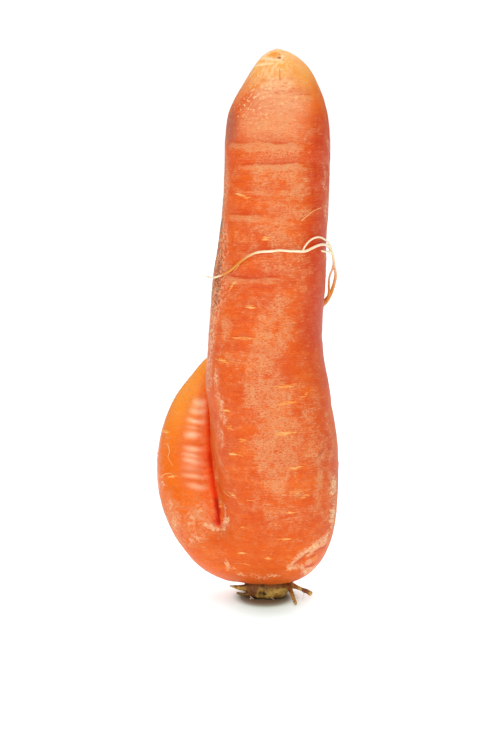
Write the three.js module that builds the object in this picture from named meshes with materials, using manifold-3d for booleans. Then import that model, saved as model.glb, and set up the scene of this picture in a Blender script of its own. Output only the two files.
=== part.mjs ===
// A fresh carrot that forked while it grew, standing upside down on its cut crown.
// Units are millimetres. Z is up from the crown's cut face, X runs to the right and -Y to the front.
// The solids are the orange taproot with its side root, the brown crown with its cut leaf stalks,
// and one stringy rootlet that clings to the skin.
import * as THREE from "three";
import { mergeVertices } from "three/addons/utils/BufferGeometryUtils.js";
import Module from "manifold-3d";

const wasm = await Module();
wasm.setup();

// ---------------------------------------------------------------- driving dimensions

const CLEARANCE = 0.35; // gap between neighbouring solids

// The main root, from the dimple round the crown to the tip: height, radius, and how far its axis bows
// to the right.
const MAIN_ROOT = [
  [6.4, 0, -0.9],
  [5.8, 5.0, -1.0],
  [4.9, 8.6, -1.0],
  [6.3, 11.8, -0.4],
  [10.4, 15.0, 0.7],
  [15.9, 17.0, 1.6],
  [23.3, 18.0, 2.4],
  [34.3, 19.2, 2.2],
  [45.3, 19.5, 1.6],
  [56.2, 19.1, 0.5],
  [65.3, 18.7, -0.4],
  [73.0, 17.9, -0.9],
  [83.3, 17.3, -0.9],
  [95.9, 17.1, 0.1],
  [104.8, 16.6, 0.9],
  [117.3, 16.2, 1.9],
  [129.7, 15.9, 2.4],
  [140.3, 15.7, 2.6],
  [147.4, 14.5, 2.8],
  [152.6, 12.2, 3.3],
  [157.9, 9.1, 3.5],
  [160.9, 6.6, 3.2],
  [163.2, 3.6, 2.7],
  [164.4, 0, 2.3],
];
const DEPTH_SHARE = 0.95; // the main root's depth over its width
const MAIN_LEAN = -1.0; // how far its belly leans to the front
const MAIN_SIDES = 44;
const MAIN_RINGS = 60; // besides those that the creases add
const SQUARENESS = 0.018; // share of the radius by which four soft corners stand out
const CORNER_ANGLE = -52; // degrees, 0 to the right and -90 to the front
const LUMP_HEIGHT = 0.28; // height of its slow swellings

// Growth creases that run part of the way round: height, middle and half-width in degrees, depth.
const CREASES = [
  [151.2, -60, 70, 0.35],
  [136.6, -100, 80, 0.5],
  [130.4, -80, 90, 0.55],
  [122.6, -75, 60, 0.45],
  [115.4, -130, 70, 0.5],
  [98.2, -115, 60, 0.4],
  [74.8, -130, 50, 0.3],
  [145.0, 90, 85, 0.35],
  [126.4, 60, 70, 0.35],
  [108.5, 110, 90, 0.4],
  [79.5, 50, 75, 0.3],
  [58.0, 20, 60, 0.3],
];
const CREASE_WIDTH = 1.0; // half the width of a crease

// The side root that forked off the shoulder and curls up behind the main root: x, y, z and radius.
const SIDE_ROOT = [
  [-2.1, 0.0, 14.0, 7.2],
  [-10.8, 1.5, 14.5, 10.3],
  [-18.7, 4.5, 23.2, 11.5],
  [-23.1, 8.5, 33.4, 11.0],
  [-23.9, 11.0, 43.8, 10.0],
  [-22.2, 12.6, 54.0, 8.5],
  [-18.9, 14.8, 63.0, 5.8],
  [-16.0, 16.6, 69.8, 3.4],
  [-14.6, 17.4, 73.8, 0],
];
const SIDE_SIDES = 28;
const CROTCH_HEIGHT = 22.6; // where the slit between the two roots ends
const SLIT_GAP = 0.5; // least width of that slit
// Cross ribs that the side root carries along the slit: first and last height, pitch, height of a rib,
// and the way that the ribbed side faces.
const RIBBED = [31, 62];
const RIB_PITCH = 2.7;
const RIB_HEIGHT = 0.2;
const RIB_FACING = [0.55, -0.83, 0];
const RIBBED_STEP = 0.72; // length of one ring-to-ring step among the ribs, and elsewhere
const PLAIN_STEP = 2.3;
const WEB_BLEND = 11; // how widely the roots melt together below the slit
const WEB_ROUNDS = 6; // how often the web is evened out

// The scar of the broken tail, cut by small hollows: centre and half-sizes.
const TAIL_SCARS = [
  [1.4, -4.7, 162.5, 2.2, 1.9, 1.1],
  [-2.6, -4.6, 160.6, 1.5, 1.3, 0.8],
];

// The crown: height and radius of its core, from below the cut up into the socket of the taproot.
const CROWN_CORE = [
  [-1.0, 4.6],
  [0.4, 5.4],
  [1.6, 6.1],
  [2.9, 6.5],
  [4.5, 6.1],
  [6.4, 5.2],
  [9.2, 4.6],
];
const CROWN_AXIS_X = -0.7;
const CORE_SIDES = 24;
// Leaf bases that sheathe the core: angle, half-width, half-thickness, and how far out the belly's middle is.
const LEAF_BASES = [
  [-62, 4.6, 1.6, 6.1],
  [-124, 2.3, 1.5, 6.1],
  [-158, 2.2, 1.3, 5.9],
  [-14, 2.8, 1.4, 5.9],
  [24, 3.0, 1.3, 5.8],
  [66, 3.4, 1.4, 6.1],
  [110, 3.0, 1.3, 5.8],
  [152, 2.8, 1.3, 5.9],
];
// Cut leaf stalks: x, y, z and radius along each.
const LEAF_STALKS = {
  jointed: [
    [4.2, -2.2, 4.7, 1.7],
    [6.2, -3.0, 4.1, 1.3],
    [8.1, -3.6, 3.4, 0.66],
    [9.9, -4.1, 2.8, 0.6],
    [10.9, -4.4, 2.4, 0.85],
    [11.7, -4.6, 2.1, 0.66],
    [12.8, -4.8, 1.5, 0.95],
  ],
  frontPeg: [
    [4.4, -3.2, 4.2, 1.5],
    [6.4, -6.0, 3.2, 0.8],
    [7.1, -9.4, 1.8, 0.62],
    [7.6, -12.2, 1.0, 0.58],
    [7.9, -14.6, 0.7, 0.52],
  ],
  leftScale: [
    [-4.6, -2.4, 3.0, 1.8],
    [-7.0, -2.8, 3.0, 1.2],
    [-9.4, -3.1, 3.2, 0.75],
    [-11.8, -3.2, 3.6, 0.25],
  ],
  leftPeg: [
    [-4.4, -2.8, 1.4, 1.1],
    [-7.0, -3.6, 1.1, 0.55],
    [-8.4, -3.8, 1.2, 0.5],
    [-9.6, -3.9, 1.7, 0.42],
  ],
  backLeft: [
    [-2.2, 4.2, 4.4, 1.6],
    [-3.9, 6.6, 3.6, 1.0],
    [-5.0, 8.4, 2.4, 0.85],
  ],
  backRight: [
    [3.4, 3.8, 4.4, 1.5],
    [5.2, 6.4, 3.9, 0.95],
    [6.4, 8.4, 3.2, 0.9],
    [7.3, 9.9, 2.4, 0.85],
  ],
};
const STALK_SIDES = 8;

// The rootlet's strands. Each station is the angle round the main root, the height, how far the strand's
// middle stands off the skin, and its radius. The stand-off is below 0 where the rootlet grows from the skin.
const ROOTLET = {
  long: [
    [16, 87.6, -1.0, 1.1],
    [10, 89.8, 0.9, 0.85],
    [4, 93.0, 2.1, 0.6],
    [-3, 98.0, 2.9, 0.48],
    [-5, 100.2, 2.4, 0.44],
    [-8, 102.6, 2.3, 0.44],
    [-11, 104.6, 1.8, 0.44],
    [-17, 106.1, 1.2, 0.44],
    [-24, 106.8, 0.95, 0.44],
    [-35, 107.1, 0.9, 0.44],
    [-44, 106.8, 0.9, 0.46],
    [-53, 105.9, 0.9, 0.46],
    [-59, 105.3, 0.9, 0.44],
    [-68, 105.5, 0.85, 0.38],
    [-76, 105.5, 0.85, 0.38],
    [-83, 105.8, 0.85, 0.4],
    [-91, 105.5, 0.9, 0.42],
    [-98, 105.4, 0.9, 0.42],
    [-105, 105.2, 0.9, 0.42],
    [-110, 104.6, 0.9, 0.4],
    [-116, 103.6, 0.9, 0.42],
    [-121, 102.4, 0.9, 0.45],
    [-129, 100.1, 0.9, 0.45],
    [-136, 98.9, 0.9, 0.4],
    [-144, 98.0, 0.85, 0.36],
    [-151, 97.4, 0.85, 0.34],
    [-164, 97.1, 1.0, 0.3],
    [-176, 97.1, 1.7, 0.28],
  ],
  inner: [
    [10, 89.9, 0.9, 0.6],
    [5, 91.4, 1.2, 0.4],
    [2, 94.2, 1.0, 0.38],
    [-1, 96.9, 1.0, 0.38],
    [-3, 99.4, 1.9, 0.38],
    [-5, 101.0, 2.4, 0.38],
  ],
  bow: [
    [-9, 103.4, 2.2, 0.32],
    [-15, 106.2, 1.6, 0.32],
    [-24, 107.9, 1.2, 0.32],
    [-34, 108.8, 1.0, 0.32],
    [-42, 109.4, 0.95, 0.32],
    [-51, 108.9, 0.9, 0.32],
    [-57, 107.6, 0.9, 0.32],
    [-60, 106.2, 0.9, 0.32],
    [-61, 105.3, 0.9, 0.32],
  ],
  spur: [
    [-10, 104.0, 1.9, 0.38],
    [-18, 104.8, 1.3, 0.36],
    [-27, 104.9, 0.95, 0.34],
    [-36, 105.3, 0.85, 0.3],
  ],
};
const ROOTLET_SIDES = 7;
const STRAND_STEP = 1.4; // length of one ring-to-ring step

const COLOURS = { taproot: 0xe8682c, crown: 0x7d6128, rootlet: 0xeec48c };

// ---------------------------------------------------------------- small helpers

const radians = THREE.MathUtils.degToRad;
const smooth = THREE.MathUtils.smoothstep;
const UP = new THREE.Vector3(0, 0, 1);

// How near an angle is to a middle: 1 there, 0 at the half-width and beyond. All in degrees.
function near(angle, middle, halfWidth) {
  const away = Math.abs(THREE.MathUtils.euclideanModulo(angle - middle + 180, 360) - 180);
  return 1 - smooth(away, 0.45 * halfWidth, halfWidth);
}

// A closed geometry from a row of rings and a pole point at each end.
function loft(startPole, rings, endPole) {
  const sides = rings[0].length;
  const points = [startPole, ...rings.flat(), endPole];
  const index = [];
  const at = (ring, side) => 1 + ring * sides + (side % sides);
  const last = points.length - 1;
  for (let side = 0; side < sides; side++) {
    index.push(0, at(0, side + 1), at(0, side));
    for (let ring = 0; ring < rings.length - 1; ring++) {
      const [a, b] = [at(ring, side), at(ring, side + 1)];
      const [c, d] = [at(ring + 1, side), at(ring + 1, side + 1)];
      index.push(a, b, d, a, d, c);
    }
    index.push(last, at(rings.length - 1, side), at(rings.length - 1, side + 1));
  }
  const positions = new Float32Array(points.flatMap((p) => [p.x, p.y, p.z]));
  const geometry = new THREE.BufferGeometry();
  geometry.setAttribute("position", new THREE.BufferAttribute(positions, 3));
  return geometry.setIndex(index);
}

function toSolid(geometry) {
  const bare = geometry.clone();
  ["normal", "uv"].forEach((name) => bare.deleteAttribute(name));
  const merged = mergeVertices(bare, 1e-4);
  return new wasm.Manifold(
    new wasm.Mesh({
      numProp: 3,
      vertProperties: new Float32Array(merged.attributes.position.array),
      triVerts: new Uint32Array(merged.index.array),
    }),
  );
}

function toGeometry(solid) {
  const { vertProperties, triVerts } = solid.getMesh();
  const geometry = new THREE.BufferGeometry();
  geometry.setAttribute("position", new THREE.BufferAttribute(new Float32Array(vertProperties), 3));
  geometry.setIndex(new THREE.BufferAttribute(new Uint32Array(triVerts), 1));
  return geometry;
}

const fuse = (solids) => solids.reduce((all, solid) => all.add(solid));

// The largest body of a solid, which drops the pinholes that a fused slit can close off.
const largestBody = (solid) => solid.decompose().reduce((a, b) => (b.volume() > a.volume() ? b : a));

// A round or flat rod through points. size(t) gives its half-width and half-thickness at share t of its
// length, and outward is the direction that its thickness is measured along.
function rod(points, size, sides, steps, outward = new THREE.Vector3(0.3, 0.2, 1)) {
  const path = new THREE.CatmullRomCurve3(points);
  const rings = [];
  for (let k = 0; k <= steps; k++) {
    const along = path.getTangentAt(k / steps);
    const out = outward.clone().addScaledVector(along, -outward.dot(along)).normalize();
    const across = along.clone().cross(out);
    const [width, thickness] = size(k / steps);
    const middle = path.getPointAt(k / steps);
    rings.push(
      Array.from({ length: sides }, (_, i) => {
        const turn = (2 * Math.PI * i) / sides;
        return middle
          .clone()
          .addScaledVector(out, thickness * Math.cos(turn))
          .addScaledVector(across, width * Math.sin(turn));
      }),
    );
  }
  const [startWidth] = size(0);
  const [endWidth] = size(1);
  const startPole = path.getPointAt(0).addScaledVector(path.getTangentAt(0), -0.4 * startWidth);
  const endPole = path.getPointAt(1).addScaledVector(path.getTangentAt(1), 0.6 * endWidth);
  return toSolid(loft(startPole, rings, endPole));
}

// A round rod through stations that give x, y, z and radius.
function stalk(stations, sides, steps, grow) {
  const points = stations.map(([x, y, z]) => new THREE.Vector3(x, y, z));
  const radii = stations.map(([, , , radius]) => radius + grow);
  const path = new THREE.CatmullRomCurve3(points);
  const radiusAt = (t) => between(radii, path.getUtoTmapping(t));
  return rod(points, (t) => [radiusAt(t), radiusAt(t)], sides, steps);
}

// Reads a value between evenly spaced entries of a list, at share t of its length.
function between(values, t) {
  const at = Math.min(t, 1) * (values.length - 1);
  const low = Math.min(Math.floor(at), values.length - 2);
  return THREE.MathUtils.lerp(values[low], values[low + 1], at - low);
}

// ---------------------------------------------------------------- the main root

// A point of this curve holds the radius, the axis's x and the height.
const mainProfile = new THREE.CatmullRomCurve3(
  MAIN_ROOT.map(([height, radius, axisX]) => new THREE.Vector3(radius, axisX, height)),
);
const PROFILE_STEPS = 400;
const profileSamples = mainProfile
  .getSpacedPoints(PROFILE_STEPS)
  .map((p) => ({ radius: Math.max(p.x, 0), axisX: p.y, height: p.z }));
// The sample at the lowest point of the shoulder, and the height of the tip.
const RIM = profileSamples.reduce((best, p, k) => (p.height < profileSamples[best].height ? k : best), 0);
const TOP = profileSamples.at(-1).height;

const axisY = (height) => MAIN_LEAN * Math.sin((Math.PI * height) / TOP);

// Where along the samples the profile's outer side reaches a height.
function sampleAt(height) {
  const k = profileSamples.findIndex((p, i) => i > RIM && p.height >= height);
  return k < 0 ? PROFILE_STEPS : k;
}

function profileAt(height) {
  const [low, high] = [profileSamples[sampleAt(height) - 1], profileSamples[sampleAt(height)]];
  const share = THREE.MathUtils.clamp((height - low.height) / (high.height - low.height), 0, 1);
  const mix = (key) => THREE.MathUtils.lerp(low[key], high[key], share);
  return { radius: mix("radius"), axisX: mix("axisX") };
}

// How far the skin stands out from the plain radius: soft corners, slow lumps and the creases.
function mainRelief(degrees, height, radius) {
  const turn = radians(degrees);
  const corners = SQUARENESS * radius * Math.cos(4 * (turn - radians(CORNER_ANGLE)));
  const lumps = LUMP_HEIGHT * Math.sin(2 * turn + height / 14) * Math.sin(height / 11 + 0.7 * Math.cos(turn));
  const creased = CREASES.reduce((sum, [at, middle, halfWidth, depth]) => {
    const wave = 0.35 * Math.sin(3 * turn + at);
    const across = (height - at - wave) / CREASE_WIDTH;
    return sum + depth * near(degrees, middle, halfWidth) * Math.exp(-across * across);
  }, 0);
  return (corners + lumps) * smooth(radius, 4, 12) - creased;
}

function mainRing(share) {
  const { x: radius, y: axisX, z: height } = mainProfile.getPointAt(share);
  return Array.from({ length: MAIN_SIDES }, (_, i) => {
    const degrees = (360 * i) / MAIN_SIDES;
    const reach = Math.max(radius, 0) + mainRelief(degrees, height, radius);
    const turn = radians(degrees);
    return new THREE.Vector3(
      axisX + reach * Math.cos(turn),
      axisY(height) + DEPTH_SHARE * reach * Math.sin(turn),
      height,
    );
  });
}

// Shares of the profile's length that have a ring: evenly spaced ones, and three across each crease.
function ringShares() {
  const even = Array.from({ length: MAIN_RINGS - 1 }, (_, k) => (k + 1) / MAIN_RINGS);
  const heights = CREASES.flatMap(([at]) => [at - CREASE_WIDTH, at, at + CREASE_WIDTH]);
  const creased = heights.map((height) => sampleAt(height) / PROFILE_STEPS);
  const shares = [...even, ...creased].sort((a, b) => a - b);
  return shares.filter((share, k) => k === 0 || share - shares[k - 1] > 0.3 / MAIN_RINGS);
}

function mainPole(share) {
  const { y: axisX, z: height } = mainProfile.getPointAt(share);
  return new THREE.Vector3(axisX, axisY(height), height);
}

const mainRoot = () => toSolid(loft(mainPole(0), ringShares().map(mainRing), mainPole(1)));

// ---------------------------------------------------------------- the side root

const sidePath = new THREE.CatmullRomCurve3(SIDE_ROOT.map(([x, y, z]) => new THREE.Vector3(x, y, z)));
const sideLength = sidePath.getLength();
const sideRadii = new THREE.CatmullRomCurve3(
  SIDE_ROOT.map(([, , , radius], k) => new THREE.Vector3(k, radius, 0)),
);

// The side root's radius at share t of its length. Both curves run through the same stations.
const sideRadius = (t) => Math.max(sideRadii.getPoint(sidePath.getUtoTmapping(t)).y, 0.02);

// Presses a point that would lie in the main root out to its skin, which leaves the slit.
function pressedOut(point) {
  const { radius, axisX } = profileAt(point.z);
  const [dx, dy] = [point.x - axisX, (point.y - axisY(point.z)) / DEPTH_SHARE];
  const degrees = THREE.MathUtils.radToDeg(Math.atan2(dy, dx));
  const clear = (radius + mainRelief(degrees, point.z, radius) + SLIT_GAP) / Math.hypot(dx, dy);
  if (point.z < CROTCH_HEIGHT || clear <= 1) return point;
  return point.set(axisX + dx * clear, axisY(point.z) + DEPTH_SHARE * dy * clear, point.z);
}

const amongRibs = (height, fade) =>
  smooth(height, RIBBED[0], RIBBED[0] + fade) * (1 - smooth(height, RIBBED[1] - fade, RIBBED[1]));

// Where the side root's rings sit, as lengths along its path: close together among the ribs and at the tip.
function sideStations() {
  const stations = [];
  let at = 0.5 * PLAIN_STEP;
  while (at < sideLength - 0.3) {
    stations.push(at);
    const ribbed = amongRibs(sidePath.getPointAt(at / sideLength).z, 0.1) > 0.5;
    at += ribbed ? RIBBED_STEP : PLAIN_STEP * (0.4 + 0.6 * smooth(sideLength - at, 0, 6));
  }
  return stations;
}

function sideRing(at) {
  const share = at / sideLength;
  const middle = sidePath.getPointAt(share);
  const along = sidePath.getTangentAt(share);
  const back = new THREE.Vector3(0, 1, 0);
  const out = back.addScaledVector(along, -back.dot(along)).normalize();
  const across = along.clone().cross(out);
  const facing = new THREE.Vector3(...RIB_FACING);
  const phase = (2 * Math.PI * (at + 0.5 * Math.sin(at / 4.3))) / RIB_PITCH;
  const rib = RIB_HEIGHT * amongRibs(middle.z, 5) * Math.cos(phase);
  return Array.from({ length: SIDE_SIDES }, (_, i) => {
    const turn = (2 * Math.PI * i) / SIDE_SIDES;
    const direction = out.clone().multiplyScalar(Math.cos(turn)).addScaledVector(across, Math.sin(turn));
    const reach = sideRadius(share) + rib * smooth(direction.dot(facing), 0.25, 0.85);
    return pressedOut(middle.clone().addScaledVector(direction, reach));
  });
}

const sideRoot = () =>
  toSolid(loft(sidePath.getPointAt(0), sideStations().map(sideRing), sidePath.getPointAt(1)));

// ---------------------------------------------------------------- the web that joins them

// How far a point lies outside the plain main root, measured to its profile in the plane through the axis.
function outsideMain(p) {
  const height = THREE.MathUtils.clamp(p.z, profileSamples[RIM].height, TOP);
  const reach = Math.hypot(p.x - profileAt(height).axisX, (p.y - axisY(height)) / DEPTH_SHARE);
  const distances = profileSamples.map((sample) => Math.hypot(reach - sample.radius, p.z - sample.height));
  const k = THREE.MathUtils.clamp(distances.indexOf(Math.min(...distances)), 1, PROFILE_STEPS - 1);
  const [low, nearest, high] = profileSamples.slice(k - 1, k + 2);
  const [rise, run] = [high.height - low.height, high.radius - low.radius];
  return ((reach - nearest.radius) * rise - (p.z - nearest.height) * run) / Math.hypot(rise, run);
}

const SIDE_STEPS = 80;
const sideSamples = Array.from({ length: SIDE_STEPS + 1 }, (_, k) => ({
  at: sidePath.getPointAt(k / SIDE_STEPS),
  radius: sideRadius(k / SIDE_STEPS),
}));
const outsideSide = (p) =>
  Math.min(...sideSamples.map((sample) => p.distanceTo(sample.at) - sample.radius));

// How widely the roots melt together at a point: not at all round the crown, nor above the crotch.
function blendAt(p) {
  const awayFromCrown = smooth(Math.hypot(p.x - CROWN_AXIS_X, p.y), 7, 13) * smooth(p.z, 2, 11);
  return WEB_BLEND * awayFromCrown * (1 - smooth(p.z, CROTCH_HEIGHT - 3, CROTCH_HEIGHT + 0.5));
}

// How much a point belongs to the web: 1 midway between the roots, 0 where only one of them is near.
function webShare(p) {
  const blend = blendAt(p);
  return blend > 0 ? Math.max(1 - Math.abs(outsideMain(p) - outsideSide(p)) / blend, 0) : 0;
}

// The level that both roots share once their surfaces melt into each other.
function webLevel(p) {
  const share = webShare(p);
  return Math.min(outsideMain(p), outsideSide(p)) - (share * share * blendAt(p)) / 4;
}

// Which way and how steeply the shared level rises at a point.
function webSlope(p) {
  const step = 0.05;
  const here = webLevel(p);
  const rises = ["x", "y", "z"].map((axis) => {
    const beside = p.clone();
    beside[axis] += step;
    return (webLevel(beside) - here) / step;
  });
  return new THREE.Vector3(...rises);
}

function slideToLevel(p, level) {
  for (let round = 0; round < 3; round++) {
    const slope = webSlope(p);
    p.addScaledVector(slope, (level - webLevel(p)) / Math.max(slope.lengthSq(), 0.2));
  }
}

function neighboursOf(geometry) {
  const neighbours = Array.from({ length: geometry.attributes.position.count }, () => new Set());
  const index = geometry.index.array;
  for (let i = 0; i < index.length; i++) {
    const next = i % 3 === 2 ? i - 2 : i + 1;
    neighbours[index[i]].add(index[next]);
    neighbours[index[next]].add(index[i]);
  }
  return neighbours;
}

function middleOf(points) {
  return points.reduce((sum, p) => sum.add(p), new THREE.Vector3()).divideScalar(points.length);
}

// Fills the crease between the fused roots: points near it slide out to the shared level, then even out.
function withWeb(solid) {
  const geometry = toGeometry(solid);
  const position = geometry.attributes.position;
  const neighbours = neighboursOf(geometry);
  const points = neighbours.map((_, i) => new THREE.Vector3().fromBufferAttribute(position, i));
  const inWeb = points.map((_, i) => i).filter((i) => webShare(points[i]) > 0);
  const levels = new Map(inWeb.map((i) => [i, Math.min(outsideMain(points[i]), outsideSide(points[i]))]));
  inWeb.forEach((i) => slideToLevel(points[i], levels.get(i)));
  for (let round = 0; round < WEB_ROUNDS; round++) {
    inWeb.forEach((i) => {
      const middle = middleOf([...neighbours[i]].map((k) => points[k]));
      points[i].lerp(middle, 0.6 * smooth(webShare(points[i]), 0, 0.4));
      slideToLevel(points[i], 0.5 * levels.get(i));
    });
  }
  points.forEach((p, i) => position.setXYZ(i, p.x, p.y, p.z));
  return toSolid(geometry);
}

// ---------------------------------------------------------------- the crown

const crownAxis = (height) => new THREE.Vector3(CROWN_AXIS_X, 0, height);
const outFromCrown = (degrees) => new THREE.Vector3(1, 0, 0).applyAxisAngle(UP, radians(degrees));

function crownCore(grow) {
  const rings = CROWN_CORE.map(([height, radius], k) => {
    const lift = k === CROWN_CORE.length - 1 ? grow : 0;
    return Array.from({ length: CORE_SIDES }, (_, i) =>
      crownAxis(height + lift).addScaledVector(outFromCrown((360 * i) / CORE_SIDES), radius + grow),
    );
  });
  return toSolid(loft(crownAxis(CROWN_CORE[0][0]), rings, crownAxis(CROWN_CORE.at(-1)[0] + grow)));
}

function leafBase([degrees, halfWidth, halfThickness, belly], grow) {
  const out = outFromCrown(degrees);
  const at = (reach, height) => crownAxis(height).addScaledVector(out, reach);
  const points = [
    at(4.6, 6.4),
    at(belly - 0.5, 4.6),
    at(belly, 2.8),
    at(belly - 1.2, 0.8),
    at(belly - 2.6, -0.9),
  ];
  const swell = (t) => Math.sin(Math.PI * THREE.MathUtils.lerp(0.18, 0.86, t));
  const size = (t) => [halfWidth * swell(t) + grow, halfThickness * swell(t) + grow];
  return rod(points, size, 10, 7, out);
}

// The whole crown. grow makes it fatter all round, which gives the socket that it sits in.
function crown(grow = 0) {
  const bases = LEAF_BASES.map((base) => leafBase(base, grow));
  const stalks = Object.values(LEAF_STALKS).map((stations) =>
    stalk(stations, STALK_SIDES, 2 * stations.length, grow),
  );
  return fuse([crownCore(grow), ...bases, ...stalks]);
}

// Everything below the cut, as a block to take away.
function belowTheCut() {
  const block = new THREE.BoxGeometry(80, 80, 20);
  return toSolid(block.translate(0, 0, -10));
}

// ---------------------------------------------------------------- the rootlet

// A point that stands off the main root's skin.
function skinPoint(degrees, height, lift) {
  const { radius, axisX } = profileAt(height);
  const reach = radius + mainRelief(degrees, height, radius) + lift;
  const turn = radians(degrees);
  const depth = DEPTH_SHARE * (reach - lift) + lift;
  return new THREE.Vector3(axisX + reach * Math.cos(turn), axisY(height) + depth * Math.sin(turn), height);
}

function rootlet(grow = 0) {
  const strands = Object.values(ROOTLET).map((stations) => {
    const points = stations.map(([degrees, height, lift]) => skinPoint(degrees, height, lift));
    const length = new THREE.CatmullRomCurve3(points).getLength();
    const placed = points.map((p, k) => [p.x, p.y, p.z, stations[k][3]]);
    return stalk(placed, ROOTLET_SIDES, Math.round(length / STRAND_STEP), grow);
  });
  return fuse(strands);
}

// ---------------------------------------------------------------- the taproot, with its hollows

function tailScars() {
  return TAIL_SCARS.map(([x, y, z, halfX, halfY, halfZ]) =>
    toSolid(new THREE.SphereGeometry(1, 12, 8).scale(halfX, halfY, halfZ).translate(x, y, z)),
  );
}

function taproot() {
  const roots = withWeb(largestBody(mainRoot().add(sideRoot())));
  return roots.subtract(fuse([crown(CLEARANCE), rootlet(CLEARANCE), ...tailScars()]));
}

// ---------------------------------------------------------------- the scene

function meshOf(name, solid, roughness) {
  const geometry = toGeometry(solid);
  geometry.computeVertexNormals();
  const material = new THREE.MeshStandardMaterial({ color: COLOURS[name], roughness, metalness: 0 });
  const mesh = new THREE.Mesh(geometry, material);
  mesh.name = name;
  return mesh;
}

const carrot = new THREE.Group();
carrot.name = "carrot";
carrot.add(meshOf("taproot", taproot(), 0.55));
carrot.add(meshOf("crown", crown().subtract(belowTheCut()), 0.8));
carrot.add(meshOf("rootlet", rootlet(), 0.6));

export default carrot;
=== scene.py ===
"""Looks of a forked carrot that stands upside down on its cut crown.

Blender works in metres. Places on the carrot are given in millimetres: by x, y and z in the part's frame,
or by an angle round the main root (0 to the right, -90 to the front) and a height above the crown's cut.
"""

import math
import random

import bmesh
import bpy
import numpy as np
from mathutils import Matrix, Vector, noise


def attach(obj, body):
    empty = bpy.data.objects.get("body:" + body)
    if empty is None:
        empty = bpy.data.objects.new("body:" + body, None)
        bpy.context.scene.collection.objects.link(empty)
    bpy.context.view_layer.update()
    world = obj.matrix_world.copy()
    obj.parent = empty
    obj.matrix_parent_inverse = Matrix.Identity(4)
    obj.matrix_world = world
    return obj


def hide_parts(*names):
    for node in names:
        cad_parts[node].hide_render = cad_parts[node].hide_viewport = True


MM = 0.001
DIVISIONS = 2  # how often each face of a solid is divided
TUBE_SIDES = 6
SIDE_STATIONS = 90  # places along the side root's middle where it is measured

# ---- the carrot's own shape

# The main root's skin: height, radius and how far its axis bows to the right.
MAIN_ROOT = [
    (5.0, 8.6, -1.0), (6.3, 11.8, -0.4), (10.4, 15.0, 0.7), (15.9, 17.0, 1.6), (23.3, 18.0, 2.4),
    (34.3, 19.2, 2.2), (45.3, 19.5, 1.6), (56.2, 19.1, 0.5), (65.3, 18.7, -0.4), (73.0, 17.9, -0.9),
    (83.3, 17.3, -0.9), (95.9, 17.1, 0.1), (104.8, 16.6, 0.9), (117.3, 16.2, 1.9), (129.7, 15.9, 2.4),
    (140.3, 15.7, 2.6), (147.4, 14.5, 2.8), (152.6, 12.2, 3.3), (157.9, 9.1, 3.5), (160.9, 6.6, 3.2),
    (163.2, 3.6, 2.7), (164.4, 0.0, 2.3),
]
DEPTH_SHARE = 0.95  # the main root's depth over its width
MAIN_LEAN = -1.0  # how far its belly leans to the front
TIP_HEIGHT = 164.4

# The side root behind it: x, y, z and radius.
SIDE_ROOT = [
    (-2.1, 0.0, 14.0, 7.2), (-10.8, 1.5, 14.5, 10.3), (-18.7, 4.5, 23.2, 11.5), (-23.1, 8.5, 33.4, 11.0),
    (-23.9, 11.0, 43.8, 10.0), (-22.2, 12.6, 54.0, 8.5), (-18.9, 14.8, 63.0, 5.8), (-16.0, 16.6, 69.8, 3.4),
    (-14.6, 17.4, 73.8, 0.5),
]
CROTCH_HEIGHT = 22.6  # where the slit between the two roots ends

# ---- marks on the skin

# Pale corky marks on the main root: angle, height, half-length, half-thickness, slope in degrees.
LENTICELS = [
    (-125, 121.2, 3.4, 0.42, -17), (-98, 109.0, 1.3, 0.6, 0), (-128, 95.6, 1.3, 0.6, 50),
    (-107, 89.1, 1.9, 0.5, -8), (-112, 80.1, 3.6, 0.34, 0), (-136, 73.1, 3.0, 0.6, -6),
    (-74, 66.2, 3.2, 0.5, 3), (-74, 61.2, 3.4, 0.44, 6), (-57, 63.2, 1.6, 0.4, 24),
    (-78, 52.3, 3.4, 0.55, 3), (-133, 58.6, 1.6, 0.42, 0), (-131, 53.6, 2.0, 0.5, -12),
    (-118, 50.0, 1.6, 0.42, 0), (-127, 45.7, 3.2, 0.55, 0), (-72, 42.2, 2.0, 0.5, 0),
    (-72, 35.0, 3.6, 0.44, 4), (-66, 33.2, 2.4, 0.44, 16), (-136, 33.6, 1.8, 0.44, -16),
    (-78, 28.8, 2.6, 0.42, 3), (-122, 23.8, 1.8, 0.42, 0), (-81, 20.5, 2.0, 0.4, 0),
    (-150, 14.6, 1.2, 0.5, 6), (-148, 12.4, 1.2, 0.5, 0), (-123, 15.8, 2.6, 0.44, 0),
    (-118, 12.6, 2.2, 0.42, 0), (-96, 14.6, 1.2, 0.4, 0),
]
# Growth creases on the main root: height, middle angle, half-width in degrees, depth, slope in degrees.
CREASES = [
    (150.8, -74, 42, 0.14, 1), (137.0, -112, 60, 0.19, -1), (130.9, -98, 46, 0.2, 1),
    (123.0, -98, 44, 0.16, 0), (115.9, -114, 44, 0.2, -1), (105.6, -112, 36, 0.12, 2),
    (97.9, -110, 40, 0.18, -1), (76.0, -112, 36, 0.1, -2), (145.0, 90, 60, 0.14, 2),
    (126.4, 60, 70, 0.16, -2), (108.5, 110, 70, 0.16, 1), (79.5, 50, 60, 0.12, 2), (58.0, 20, 50, 0.12, -2),
    (38.0, 60, 50, 0.12, 2),
]
# Pale flaky patches on the main root: angle, height, half-length, half-thickness, slope in degrees.
FLAKES = [
    (-24, 34.8, 2.6, 3.4, 0), (-24, 26.4, 2.4, 4.0, 20), (-146, 24.8, 1.4, 1.4, 0),
    (-148, 28.6, 0.8, 1.2, 0), (150, 26.0, 4.0, 2.2, 10), (60, 20.0, 6.0, 2.0, -14),
    (20, 60.0, 2.0, 3.4, 0),
]
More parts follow.
